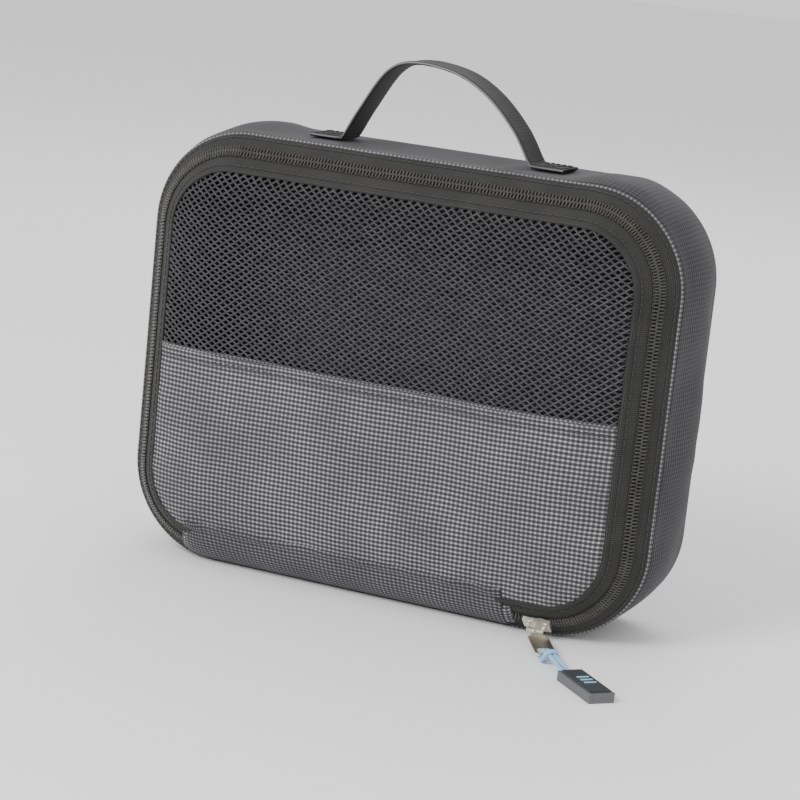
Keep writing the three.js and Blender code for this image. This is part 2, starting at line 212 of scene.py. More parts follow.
def wired(name):
    """A new node material, and a function that adds one node with its values."""
    mat = bpy.data.materials.new(name)
    mat.use_nodes = True
    tree = mat.node_tree
    shader = tree.nodes["Principled BSDF"]

    def node(kind, links=(), **values):
        made = tree.nodes.new(kind)
        inputs = {}
        for key, value in values.items():
            if key.startswith("in_"):
                inputs[int(key[3:])] = value
            else:
                setattr(made, key, value)
        for index, value in inputs.items():
            made.inputs[index].default_value = value
        for index, source in links:
            tree.links.new(source, made.inputs[index])
        return made

    return mat, tree, shader, node


def ramp_mix(node, mask, low, high):
    mix = node("ShaderNodeMixRGB", [(0, mask)], in_1=(*low, 1), in_2=(*high, 1))
    return mix.outputs[0]


def bump(tree, node, shader, height, strength, distance):
    made = node("ShaderNodeBump", [(2, height)])
    made.inputs["Strength"].default_value = strength
    made.inputs["Distance"].default_value = distance
    tree.links.new(made.outputs[0], shader.inputs["Normal"])


def math_of(node, operation, first, second):
    return node("ShaderNodeMath", [(0, first), (1, second)], operation=operation).outputs[0]


def braid_finish():
    mat, tree, shader, node = wired("braided_cord_blue")
    where = node("ShaderNodeTexCoord")
    strands = node("ShaderNodeTexWave", [(0, where.outputs["Object"])], bands_direction="DIAGONAL")
    strands.inputs["Scale"].default_value = 420
    strands.inputs["Distortion"].default_value = 1.5
    colour = ramp_mix(node, strands.outputs["Fac"], (0.17, 0.33, 0.52), (0.36, 0.58, 0.80))
    tree.links.new(colour, shader.inputs["Base Color"])
    shader.inputs["Roughness"].default_value = 0.6
    shader.inputs["Sheen Weight"].default_value = 0.15
    bump(tree, node, shader, strands.outputs["Fac"], 0.5, 0.0003)
    return mat


cord_curve.materials.append(braid_finish())
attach(pull_cord_braid, "cord")
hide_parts("pull_cord")

# ---------------------------------------------------------------- gusset
# The band of two-tone woven polyester that makes the top, the sides and the
# base. It is cut as one strip, sewn to the back and to the zip's outer tape,
# and it bows outwards a little between its seams.
WIDTH = 240.0
HEIGHT = 190.0
CORNER = 42.0
GUSSET_FRONT = -15.5
GUSSET_BACK = 30.0
straight_x = WIDTH / 2 - CORNER
straight_z = HEIGHT - 2 * CORNER
arc_length = math.pi / 2 * CORNER
runs = [
    (straight_x, (0, 0), (1, 0), None, 0),
    (arc_length, None, None, (straight_x, CORNER), -math.pi / 2),
    (straight_z, (WIDTH / 2, CORNER), (0, 1), None, 0),
    (arc_length, None, None, (straight_x, HEIGHT - CORNER), 0),
    (2 * straight_x, (straight_x, HEIGHT), (-1, 0), None, 0),
    (arc_length, None, None, (-straight_x, HEIGHT - CORNER), math.pi / 2),
    (straight_z, (-WIDTH / 2, HEIGHT - CORNER), (0, -1), None, 0),
    (arc_length, None, None, (-straight_x, CORNER), math.pi),
    (straight_x, (-straight_x, 0), (1, 0), None, 0),
]
perimeter = sum(run[0] for run in runs)


def outline(along, inset):
    """x and z of the body's outline, `along` mm from the bottom centre."""
    s = along % perimeter
    for length, start, step, centre, angle in runs:
        if s <= length:
            break
        s -= length
    if centre:
        a = angle + s / CORNER
        r = CORNER - inset
        return centre[0] + r * math.cos(a), centre[1] + r * math.sin(a)
    return (
        start[0] + step[0] * s - step[1] * inset,
        start[1] + step[1] * s + step[0] * inset,
    )


def grid_mesh(name, rows, uvs, loop=False):
    """A quad mesh over rows of points in mm, with a UV layer in mm."""
    mesh = bpy.data.meshes.new(name)
    wide = len(rows[0])
    points = [Vector(p) * MM for row in rows for p in row]
    faces = []
    corners = []
    count = len(rows) if loop else len(rows) - 1
    for i in range(count):
        j = (i + 1) % len(rows)
        for k in range(wide - 1):
            faces.append((i * wide + k, j * wide + k, j * wide + k + 1, i * wide + k + 1))
            corners.append(((i, k), (i + 1, k), (i + 1, k + 1), (i, k + 1)))
    mesh.from_pydata(points, [], faces)
    layer = mesh.uv_layers.new(name="cloth_mm")
    at = 0
    for face in corners:
        for i, k in face:
            layer.data[at].uv = uvs[i][k]
            at += 1
    mesh.shade_smooth()
    obj = bpy.data.objects.new(name, mesh)
    bpy.context.collection.objects.link(obj)
    return obj


def thicken(obj, thick):
    """Gives a cloth its thickness, all of it on the inner side."""
    layer = obj.modifiers.new("cloth_thickness", "SOLIDIFY")
    layer.thickness = thick * MM
    layer.offset = -1.0
    layer.use_even_offset = True


def bent_strip(name, start, finish, section, across, step=3.0, loop=False):
    """A strip that runs along the outline. section(t, s, z) gives (inset, y)."""
    count = max(2, int(round((finish - start) / step)))
    marks = [start + (finish - start) * i / count for i in range(count + (0 if loop else 1))]
    rows = []
    uvs = []
    for i, s in enumerate(marks + ([finish] if loop else [])):
        line = []
        row_uv = []
        v = 0.0
        last = None
        for k in range(across + 1):
            z = outline(s, 0)[1]
            inset, y = section(k / across, s, z)
            x, z = outline(s, inset)
            if last is not None:
                v += math.hypot(inset - last[0], y - last[1])
            last = (inset, y)
            line.append((x, y, z))
            row_uv.append((s, v))
        uvs.append(row_uv)
        if i < len(marks):
            rows.append(line)
    return grid_mesh(name, rows, uvs, loop)


def ease(low, high, value):
    t = min(1.0, max(0.0, (value - low) / (high - low)))
    return t * t * (3 - 2 * t)


def crease(x, y, z, size, depth):
    return depth * noise.noise(Vector((x, y, z)) / size)


def gusset_section(t, s, z):
    """Bows out on the sides, lies flat below, and dips between the handle's ends."""
    y = GUSSET_BACK + 0.9 - (GUSSET_BACK + 1.5 - GUSSET_FRONT) * t
    free = ease(3, 40, z)
    arc = math.sin(math.pi * t)
    bow = 3.0 * arc * free
    ripple = crease(s, y * 0.4, 3.0, 14, 0.9) + crease(s, y, 9.0, 34, 1.6)
    if abs(z - HEIGHT) < 0.01:
        x = abs(outline(s, 0)[0])
        loose = ease(60, 78, x)
        dip = 1.6 * arc * ease(38, 22, x)
        return -(bow + ripple * min(1, 2 * arc)) * loose + dip, y
    return -bow - ripple * free * min(1, 2 * arc), y


def woven_finish(name, dark, pale, pitch, fill, lines):
    """Two-tone cloth: pale yarn crossings over a dark ground.

    pitch is in mm, fill is the pale share of the pitch and lines is how much
    of the pale shows between crossings, each along the strip and across it.
    """
    mat, tree, shader, node = wired(name)
    where = node("ShaderNodeUVMap", uv_map="cloth_mm")
    body = node("ShaderNodeTexCoord")
    waver = node("ShaderNodeTexNoise", [(0, body.outputs["Object"])])
    waver.inputs["Scale"].default_value = 24
    drift = node("ShaderNodeVectorMath", [(0, waver.outputs["Color"])], operation="SCALE")
    drift.inputs["Scale"].default_value = 1.6
    drawn = node(
        "ShaderNodeVectorMath", [(0, where.outputs[0]), (1, drift.outputs[0])], operation="ADD",
    )
    cell = node("ShaderNodeVectorMath", [(0, drawn.outputs[0])], operation="DIVIDE")
    cell.inputs[1].default_value = (pitch[0], pitch[1], 1)
    split = node("ShaderNodeSeparateXYZ", [(0, cell.outputs[0])])
    masks = []
    for axis in (0, 1):
        part = node("ShaderNodeMath", [(0, split.outputs[axis])], operation="FRACT")
        off = node("ShaderNodeMath", [(0, part.outputs[0])], operation="SUBTRACT", in_1=0.5)
        far = node("ShaderNodeMath", [(0, off.outputs[0])], operation="ABSOLUTE")
        edge = node("ShaderNodeMapRange", [(0, far.outputs[0])])
        edge.inputs["From Min"].default_value = fill[axis] / 2 + 0.1
        edge.inputs["From Max"].default_value = fill[axis] / 2 - 0.1
        masks.append(edge.outputs[0])
    crossing = math_of(node, "MULTIPLY", masks[0], masks[1])
    either = math_of(node, "MAXIMUM", masks[0], masks[1])
    upright = node("ShaderNodeMath", [(0, masks[0])], operation="MULTIPLY", in_1=lines[0])
    level = node("ShaderNodeMath", [(0, masks[1])], operation="MULTIPLY", in_1=lines[1])
    half = math_of(node, "MAXIMUM", upright.outputs[0], level.outputs[0])
    yarn = math_of(node, "MAXIMUM", crossing, half)
    uneven = node("ShaderNodeTexNoise", [(0, body.outputs["Object"])])
    uneven.inputs["Scale"].default_value = 42
    uneven.inputs["Detail"].default_value = 5
    slub = node("ShaderNodeMapRange", [(0, uneven.outputs["Fac"])])
    slub.inputs["From Min"].default_value = 0.3
    slub.inputs["From Max"].default_value = 0.7
    slub.inputs["To Min"].default_value = 0.62
    slub.inputs["To Max"].default_value = 1.0
    tone = math_of(node, "MULTIPLY", yarn, slub.outputs[0])
    tree.links.new(ramp_mix(node, tone, dark, pale), shader.inputs["Base Color"])
    shader.inputs["Roughness"].default_value = 0.86
    shader.inputs["Specular IOR Level"].default_value = 0.3
    shader.inputs["Sheen Weight"].default_value = 0.05
    shader.inputs["Sheen Roughness"].default_value = 0.5
    bump(tree, node, shader, either, 0.7, 0.00025)
    return mat


# This cloth is the lid's two-tone weave painted darker: the shade of the gusset and the back is painted
# into its colour.
two_tone_painted_shade = woven_finish(
    "two_tone_weave_painted_shade", (0.014, 0.014, 0.017), (0.085, 0.085, 0.094),
    pitch=(1.9, 1.9), fill=(0.42, 0.5), lines=(0.1, 0.5),
)
gusset_cloth = bent_strip("gusset_cloth", 0, perimeter, gusset_section, 22, 2.6, loop=True)
thicken(gusset_cloth, 1.1)
gusset_cloth.data.materials.append(two_tone_painted_shade)
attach(gusset_cloth, "shell")
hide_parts("gusset_band", "base_panel")


# The gusset's front edge is folded under where it is sewn to the tape, and
# the fold stands up as a thin pale line beside the zip.
def fold_section(t, s, z):
    a = math.pi * 2 * t
    return 0.75 - 0.85 * math.cos(a), GUSSET_FRONT - 1.0 - 0.95 * math.sin(a)


fold_weave = woven_finish(
    "folded_edge_weave", (0.02, 0.02, 0.023), (0.24, 0.24, 0.25),
    pitch=(1.9, 1.2), fill=(0.5, 0.6), lines=(0.3, 0.3),
)
gusset_fold = bent_strip("gusset_fold", 64, perimeter - 90, fold_section, 8, 2.4)
gusset_fold.data.materials.append(fold_weave)
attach(gusset_fold, "shell")

# ---------------------------------------------------------------- back
# A flat panel of the same cloth, and the black tape that binds its seam. The
# panel dishes very slightly inside the binding, and stays flat to lie on.
BACK_Y = 32.0


def panel_half_width(z, inset):
    r = CORNER - inset
    dz = max(0.0, CORNER - z, z - (HEIGHT - CORNER))
    return straight_x + math.sqrt(max(0.0, r * r - dz * dz))


def panel_grid(name, z_low, z_high, inset, rows_count, columns, place, ease_low, ease_high, facing=-1):
    """A panel whose sides follow the rounded outline. place(x, z) gives y.

    facing is -1 for a panel of the front and 1 for the back.
    """
    rows = []
    uvs = []
    for i in range(rows_count + 1):
        t = i / rows_count
        if ease_low and ease_high:
            t = (1 - math.cos(math.pi * t)) / 2
        elif ease_low:
            t = 1 - math.cos(math.pi / 2 * t)
        elif ease_high:
            t = math.sin(math.pi / 2 * t)
        z = z_low + (z_high - z_low) * t
        half_width = panel_half_width(z, inset)
        rows.append([])
        uvs.append([])
        for k in range(columns + 1):
            x = facing * half_width * (2 * k / columns - 1)
            rows[-1].append((x, place(x, z), z))
            uvs[-1].append((x, z))
    return grid_mesh(name, rows, uvs)


def back_place(x, z):
    """Dishes inwards a little, most of all near its middle."""
    qx = x / (WIDTH / 2)
    qz = (z - HEIGHT / 2) / (HEIGHT / 2)
    return BACK_Y - 0.2 - 1.3 * max(0, 1 - qx ** 6) * max(0, 1 - qz ** 6) + crease(x, 11.0, z, 34, 0.35)


back_cloth = panel_grid(
    "back_cloth", 1.2, HEIGHT - 1.2, 1.2, 60, 60, back_place, True, True, facing=1,
)
thicken(back_cloth, 1.1)
# The back uses the gusset's cloth, with its painted shade.
back_cloth.data.materials.append(two_tone_painted_shade)
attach(back_cloth, "shell")
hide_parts("back_panel")


def binding_section(t, s, z):
    a = 2 * math.pi * t
    return 1.25 + 1.25 * math.cos(a), 30.9 + 1.1 * math.sin(a)


def tape_finish(name, dark, pale, pitch, strength=0.5):
    """Plain narrow tape: fine herringbone ribs and a slightly dusty surface."""
    mat, tree, shader, node = wired(name)
    where = node("ShaderNodeUVMap", uv_map="cloth_mm")
    ribs = node("ShaderNodeTexWave", [(0, where.outputs[0])], bands_direction="X")
    ribs.inputs["Scale"].default_value = 0.314 / pitch
    ribs.inputs["Distortion"].default_value = 0.6
    cross = node("ShaderNodeTexWave", [(0, where.outputs[0])], bands_direction="Y")
    cross.inputs["Scale"].default_value = 0.314 / pitch
    both = math_of(node, "MULTIPLY", ribs.outputs["Fac"], cross.outputs["Fac"])
    body = node("ShaderNodeTexCoord")
    dust = node("ShaderNodeTexNoise", [(0, body.outputs["Object"])])
    dust.inputs["Scale"].default_value = 90
    dust.inputs["Detail"].default_value = 5
    tone = math_of(node, "MULTIPLY", both, dust.outputs["Fac"])
    tree.links.new(ramp_mix(node, tone, dark, pale), shader.inputs["Base Color"])
    shader.inputs["Roughness"].default_value = 0.82
    shader.inputs["Specular IOR Level"].default_value = 0.3
    shader.inputs["Sheen Weight"].default_value = 0.04
    bump(tree, node, shader, both, strength, 0.0002)
    return mat


binding_weave = tape_finish("binding_tape_black", (0.008, 0.008, 0.009), (0.06, 0.06, 0.064), 1.1)
binding_tape = bent_strip("binding_tape", 0, perimeter, binding_section, 10, 2.6, loop=True)
binding_tape.data.materials.append(binding_weave)
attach(binding_tape, "shell")
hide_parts("back_binding")

# ---------------------------------------------------------------- zip tapes
# Woven polyester tape on each side of the coil. The outer one is sewn to the
# gusset, and the wide inner one to the lid's panels, with a row of stitches
# near its edge. The feet below the fold stay with the body.
RIGHT_END = 62.0
LEFT_END = -88.0
COIL_HALF = 3.0
HINGE_Z = 17.0
LID_EDGE = 14.2
LID_Y = -31.9


def zip_point(v, w):
    return ZIP_INSET + (v - w) * SLANT, ZIP_Y - (v + w) * SLANT


def along_points(points, t):
    at = t * (len(points) - 1)
    i = min(len(points) - 2, int(at))
    f = at - i
    a, b = points[i], points[i + 1]
    return a[0] + (b[0] - a[0]) * f, a[1] + (b[1] - a[1]) * f


outer_face = [(0.5, -16.6), (1.2, -17.9), (2.4, -19.3), (4.0, -20.8), zip_point(-COIL_HALF, 0.3),
              zip_point(-1.2, 0.3)]
inner_face = [zip_point(1.2, 0.3), zip_point(COIL_HALF, 0.35), (11.6, -28.3), (13.0, -29.6),
              (14.2, -30.5), (14.9, -31.0), (15.5, -31.4), (15.75, -31.1)]


def outer_section(t, s, z):
    return along_points(outer_face, t)


LID_SWELL = 6.4
SWELL_REACH = 46


def inset_at(x, z):
    """How far a point of the front lies inside the body's outline."""
    past_x = max(0.0, abs(x) - straight_x)
    past_z = max(0.0, abs(z - HEIGHT / 2) - straight_z / 2)
    return CORNER - math.hypot(past_x, past_z)


def lid_y(x, z):
    """The lid's surface: full in the middle, held down at its sewn edge."""
    inside = inset_at(x, z) - LID_EDGE
    share = min(1.0, max(0.0, inside / SWELL_REACH))
    fall = 1 - (1 - share) ** 2.3
    lumps = crease(x, 1.0, z, 62, 3.0) + crease(x * 0.8, 7.0, z, 26, 1.4)
    pucker = crease(x, 21.0, z, 7.5, 1.0) * ease(0.2, 3.5, inside) * (1 - ease(7, 22, inside))
    return LID_Y + 0.9 * (1 - ease(0, 5, inside)) - (LID_SWELL + lumps) * fall - pucker


def inner_section(t, s, z):
    """Runs from the coil to the lid, and lies on the lid's edge."""
    inset, y = along_points(inner_face, t)
    ripple = crease(s, 5.0, t, 9, 0.4) * ease(0.3, 0.6, t) * (1 - ease(0.6, 0.8, t))
    x, z = outline(s, inset)
    over = ease(LID_EDGE - 0.6, LID_EDGE + 0.6, inset)
    on_lid = lid_y(x, z) - 0.7
    return inset, min(y - ripple, y + (on_lid - y) * over) if over else y - ripple


zip_weave = tape_finish("zip_tape_weave", (0.012, 0.012, 0.011), (0.088, 0.087, 0.081), 0.9)
zip_start = RIGHT_END - 2
zip_finish = perimeter + LEFT_END + 2
outer_tape_cloth = bent_strip("outer_tape_cloth", zip_start, zip_finish, outer_section, 10, 2.2)
thicken(outer_tape_cloth, 0.5)
outer_tape_cloth.data.materials.append(zip_weave)
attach(outer_tape_cloth, "shell")
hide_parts("outer_tape")


# The inner tape belongs to the body below the fold and to the lid above it,
# and it bends where it crosses.
inner_tape_cloth = bent_strip("inner_tape_cloth", zip_start, zip_finish, inner_section, 14, 2.2)
thicken(inner_tape_cloth, 0.5)
inner_tape_cloth.data.materials.append(zip_weave)
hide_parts("inner_tape", "inner_tape_foot_right", "inner_tape_foot_left")
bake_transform(inner_tape_cloth)


# ---------------------------------------------------------------- zip coil
# Two nylon spirals woven to the tapes' edges. Their turns mesh like teeth,
# and a thread runs along each side of them.
def bar_between(bm, a, b, side, up, half_side, half_up):
    """A small bar with cut corners from a to b, all in mm."""
    section = [(1, 0.45), (0.45, 1), (-0.45, 1), (-1, 0.45),
               (-1, -0.45), (-0.45, -1), (0.45, -1), (1, -0.45)]
    rings = []
    lean = (b - a).normalized() * min(half_side, half_up) * 0.5
    for centre, grow in ((a, 0.6), (a + lean, 1), (b - lean, 1), (b, 0.6)):
        rings.append([
            bm.verts.new((centre + side * (half_side * grow * p) + up * (half_up * grow * q)) * MM)
            for p, q in section
        ])
    for r0, r1 in zip(rings, rings[1:]):
        for k in range(8):
            bm.faces.new((r0[k], r0[(k + 1) % 8], r1[(k + 1) % 8], r1[k]))
    bm.faces.new(rings[0][::-1])
    bm.faces.new(rings[-1])


def band_place(s, inset, y):
    x, z = outline(s, inset)
    return Vector((x, y, z))


def band_frame(s, v, w):
    here = band_place(s, *zip_point(v, w))
    ahead = band_place(s + 0.2, *zip_point(v, w))
    out = band_place(s, *zip_point(v, w + 0.5))
    return here, (ahead - here).normalized(), (out - here).normalized()


def finished(bm, name, mat, body, nodes=()):
    bmesh.ops.recalc_face_normals(bm, faces=bm.faces[:])
    mesh = bpy.data.meshes.new(name)
    bm.to_mesh(mesh)
    bm.free()
    mesh.materials.append(mat)
    obj = bpy.data.objects.new(name, mesh)
    bpy.context.collection.objects.link(obj)
    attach(obj, body)
    if nodes:
        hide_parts(*nodes)
    return obj


def nylon_finish(name, dark, pale, roughness):
    mat, tree, shader, node = wired(name)
    where = node("ShaderNodeTexCoord")
    worn = node("ShaderNodeTexNoise", [(0, where.outputs["Object"])])
    worn.inputs["Scale"].default_value = 260
    worn.inputs["Detail"].default_value = 3
    tree.links.new(ramp_mix(node, worn.outputs["Fac"], dark, pale), shader.inputs["Base Color"])
    shader.inputs["Roughness"].default_value = roughness
    bump(tree, node, shader, worn.outputs["Fac"], 0.2, 0.0001)
    return mat


coil_nylon = nylon_finish("coil_nylon", (0.011, 0.011, 0.009), (0.058, 0.056, 0.047), 0.4)
tooth_pitch = 1.5
coil_sets = {
    ("outer", "shell"): bmesh.new(),
    ("inner", "shell"): bmesh.new(),
    ("inner", "lid"): bmesh.new(),
}
tooth_count = int((zip_finish - zip_start) / tooth_pitch)
for i in range(tooth_count):
    for kind, shift, v_low, v_high in (("outer", 0.0, -2.5, 0.45), ("inner", 0.5, 2.5, -0.45)):
        s = zip_start + (i + shift) * tooth_pitch
        root, ahead, out = band_frame(s, v_low, 0.75)
        tip, _, _ = band_frame(s, v_high, 0.75)
        body = "lid" if kind == "inner" and root.z + tip.z > 2 * HINGE_Z else "shell"
        bar_between(coil_sets[kind, body], root, tip, ahead, out, 0.46, 0.55)
finished(
    coil_sets["outer", "shell"], "outer_coil_turns", coil_nylon, "shell",
    ["outer_coil"],
)
finished(
    coil_sets["inner", "lid"], "inner_coil_turns", coil_nylon, "lid",
    ["inner_coil"],
)
finished(
    coil_sets["inner", "shell"], "inner_coil_feet", coil_nylon, "shell",
    ["inner_coil_foot_right", "inner_coil_foot_left"],
)

# ---------------------------------------------------------------- stitches
# Dark polyester thread. One row runs each side of the coil, one on the inner
# tape near the lid and one where the outer tape meets the gusset.
thread_black = nylon_finish("sewing_thread_black", (0.008, 0.008, 0.008), (0.045, 0.045, 0.042), 0.8)
rows_of_thread = [
    ("outer", zip_point(-2.75, 0.75), zip_point(-2.75, 1.25), 2.4),
    ("outer", (2.1, -19.3), (1.6, -19.8), 3.2),
    ("inner", zip_point(2.75, 0.75), zip_point(2.75, 1.25), 2.4),
    ("inner", (13.2, -29.95), (12.8, -30.4), 3.2),
]
thread_sets = {"shell": bmesh.new(), "lid": bmesh.new()}
for kind, low, high, pitch in rows_of_thread:
    for i in range(int((zip_finish - zip_start - 8) / pitch)):
        s = zip_start + 6 + i * pitch
        a = band_place(s, *low)
        b = band_place(s + pitch * 0.68, *low)
        out = (band_place(s, *high) - a).normalized()
        side = (b - a).normalized().cross(out)
        body = "lid" if kind == "inner" and a.z + b.z > 2 * HINGE_Z else "shell"
        bar_between(thread_sets[body], a + out * 0.12, b + out * 0.12, side, out, 0.24, 0.2)
finished(thread_sets["shell"], "zip_stitches_body", thread_black, "shell")
finished(thread_sets["lid"], "zip_stitches_lid", thread_black, "lid")

# ---------------------------------------------------------------- lid
# The upper half is knitted net and the lower half is two-tone cloth. They are
# sewn into the inner tape, and they swell forwards.
SEAM_Z = 96.0
SEAM_HALF = 104
light_weave = woven_finish(
    "light_two_tone_weave", (0.024, 0.024, 0.028), (0.40, 0.40, 0.412),
    pitch=(2.0, 1.9), fill=(0.44, 0.4), lines=(0.12, 0.3),
)
lid_cloth = panel_grid("lid_cloth", LID_EDGE + 0.2, SEAM_Z, LID_EDGE, 60, 120, lid_y, True, False)
thicken(lid_cloth, 0.7)
lid_cloth.data.materials.append(light_weave)
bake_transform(lid_cloth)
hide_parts("fabric_panel")

# The net: one knitted thread that forms rows of small diamond meshes.
NET_HALF_X = 1.9
NET_HALF_Z = 1.45
NET_STRAND = 1.25
NET_WANDER = 0.28
NET_TUCK = 0.22
noise.seed_set(5)  # without a seed the net's wander differs from run to run
net_bm = bmesh.new()
net_points = {}


def net_point(i, j):
    if (i, j) not in net_points:
        x = i * NET_HALF_X
        z = SEAM_Z - 1 + j * NET_HALF_Z
        jitter = noise.noise_vector(Vector((x, z, 2.0)) / 5.0) * NET_WANDER
        tuck = NET_TUCK if j % 2 else -NET_TUCK
        x += jitter.x
        z += jitter.z
        inside = inset_at(x, z) - LID_EDGE
        under_tape = 0.95 * (1 - ease(1.6, 3.6, inside)) + 1.8 * (1 - ease(-0.6, 0.9, inside))
        net_points[i, j] = net_bm.verts.new(Vector((x, lid_y(x, z) + tuck + under_tape, z)) * MM)
    return net_points[i, j]


net_columns = int(WIDTH / 2 / NET_HALF_X)
net_rows = int((HEIGHT - SEAM_Z) / NET_HALF_Z)
for j in range(net_rows):
    for i in range(-net_columns, net_columns):
        if (i + j) % 2:
            continue
        x = i * NET_HALF_X
        z = SEAM_Z - 1 + (j + 1) * NET_HALF_Z
        if z > HEIGHT - LID_EDGE or abs(x) > panel_half_width(z, LID_EDGE):
            continue
        net_bm.faces.new((
            net_point(i, j), net_point(i + 1, j + 1), net_point(i, j + 2), net_point(i - 1, j + 1),
        ))
net_mesh = bpy.data.meshes.new("lid_net")
net_bm.to_mesh(net_mesh)
net_bm.free()
lid_net = bpy.data.objects.new("lid_net", net_mesh)
bpy.context.collection.objects.link(lid_net)
strands = lid_net.modifiers.new("net_strands", "WIREFRAME")
strands.thickness = NET_STRAND * MM
strands.use_even_offset = False
strands.use_boundary = True
net_thread = nylon_finish("net_thread", (0.02, 0.02, 0.022), (0.085, 0.085, 0.09), 0.8)
net_mesh.materials.append(net_thread)
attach(lid_net, "lid")
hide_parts("net_panel")


# The cloth's top edge is rolled over the net and held with one row of thread.
def seam_y(x, z):
    """Stands proud of the lid, and runs in under the tape at both sides."""
    lift = 0.5 + 0.35 * ease(SEAM_Z - 4.6, SEAM_Z - 2.0, z) + 0.45 * ease(SEAM_Z - 1.5, SEAM_Z, z)
    return lid_y(x, z) - lift * (1 - 0.75 * ease(101.0, SEAM_HALF, abs(x)))


seam_fold = panel_grid(
    "seam_fold", SEAM_Z - 4.6, SEAM_Z + 0.6, LID_EDGE + 0.4, 12, 110, seam_y, False, False,
)
thicken(seam_fold, 0.8)
seam_fold.data.materials.append(light_weave)
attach(seam_fold, "lid")
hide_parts("seam_band")

# The rolled edge itself, a thin tube along the top of the fold.
ROLL = 0.6
roll_rows = []
roll_uvs = []
for i in range(121):
    x = (WIDTH / 2 - LID_EDGE - 0.6) * (i / 60 - 1)
    around = [2 * math.pi * k / 10 for k in range(11)]
    roll_rows.append([
        (x, seam_y(x, SEAM_Z + 0.6) + 0.35 - ROLL * math.cos(a), SEAM_Z + 0.55 + ROLL * math.sin(a))
        for a in around
    ])
    roll_uvs.append([(x, ROLL * a) for a in around])
seam_roll = grid_mesh("seam_roll", roll_rows, roll_uvs)
seam_roll.data.materials.append(fold_weave)
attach(seam_roll, "lid")

seam_bm = bmesh.new()
seam_pitch = 3.0
for i in range(int(2 * SEAM_HALF / seam_pitch)):
    x0 = -SEAM_HALF + i * seam_pitch
    x1 = x0 + seam_pitch * 0.65
    a = Vector((x0, seam_y(x0, SEAM_Z - 3.1) - 0.08, SEAM_Z - 3.1))
    b = Vector((x1, seam_y(x1, SEAM_Z - 3.1) - 0.08, SEAM_Z - 3.1))
    bar_between(seam_bm, a, b, Vector((0, 0, 1)), Vector((0, -1, 0)), 0.2, 0.18)
finished(seam_bm, "seam_stitches", thread_black, "lid")

# ---------------------------------------------------------------- fold strip
# Along the bottom the lid isn't zipped: a strip of the light cloth joins it
# to the base and bends as its hinge. Its ends are folded over the zip's ends.
strip_face = [(0.15, -14.9), (0.7, -17.2), (2.0, -20.2), (4.4, -23.8), (7.4, -27.0),
              (10.8, -29.5), (14.2, -31.4), (17.0, -32.3), (19.4, -33.1), (20.2, -33.5)]
# A darker copy of the light weave: the shade on the down-facing hinge strip is painted into its colour.
shade_weave = woven_finish(
    "light_weave_painted_shade", (0.02, 0.02, 0.024), (0.25, 0.25, 0.262),
    pitch=(2.0, 1.9), fill=(0.44, 0.4), lines=(0.12, 0.3),
)


def strip_section(t, s, z):
    """Runs up from the base and ends on the lid, a little above the fold."""
    inset, y = along_points(strip_face, t)
    ripple = crease(s, 30.0, 6 * t, 11, 0.8) * math.sin(math.pi * t)
    x, z = outline(s, inset)
    over = ease(HINGE_Z - 1.5, HINGE_Z + 1.0, inset)
    return inset + ripple * 0.4, y + (lid_y(x, z) - 0.8 - y) * over - ripple * 0.6 * (1 - over)


fold_strip = bent_strip("fold_strip", LEFT_END - 1, RIGHT_END + 1, strip_section, 22, 2.2)
thicken(fold_strip, 0.9)
fold_strip.data.materials.append(shade_weave)
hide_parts("hinge_strip")
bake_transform(fold_strip)

for name, start, finish in (
    ("zip_end_right", RIGHT_END - 1.5, RIGHT_END + 4.5),
    ("zip_end_left", LEFT_END - 4.5, LEFT_END + 1.5),
):
    def end_section(t, s, z, start=start, finish=finish):
        edge = 0
        if start < s < finish:
            edge = math.sin(math.pi * (s - start) / (finish - start)) ** 0.4
        v = -6.4 + 12.8 * t
        w = 0.5 + 1.7 * edge * math.sin(math.pi * t) ** 0.4 if 0 < t < 1 else 0.5
        return zip_point(v, w)

    cover = bent_strip(name + "_cloth", start, finish, end_section, 12, 0.5)
    thicken(cover, 0.5)
    cover.data.materials.append(light_weave)
    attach(cover, "shell")
    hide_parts(name)

# ---------------------------------------------------------------- handle
# A length of ribbed black webbing. Its ends lie flat on the gusset, sewn down
# with a crossed square of thread, and the middle stands up as a hand loop.
HANDLE_Y = 8.0
WEB_WIDTH = 20.0
WEB_THICK = 1.5
RIB_HEIGHT = 0.14
FOOT_X = 42.0
FOOT_LENGTH = 16.0
HANDLE_RISE = 35.0
arch_z = HEIGHT + 0.3 + WEB_THICK
arch_marks = [(-36, 0.35), (-25, 0.85), (-13, 1), (6, 0.94), (21, 0.72), (34, 0.36)]
foot_z = HEIGHT + 0.35 + WEB_THICK / 2
web_marks = [(-58, foot_z), (-53, foot_z), (-48, foot_z), (-44.4, foot_z + 0.15), (-42.2, foot_z + 1.3)]
web_marks += [(x, arch_z + 0.3 + rise * HANDLE_RISE) for x, rise in arch_marks]
web_marks += [(42.2, foot_z + 1.3), (44.4, foot_z + 0.15), (48, foot_z), (53, foot_z), (58, foot_z)]
web_line = smooth_line([Vector((x, HANDLE_Y, z)) for x, z in web_marks], 26)

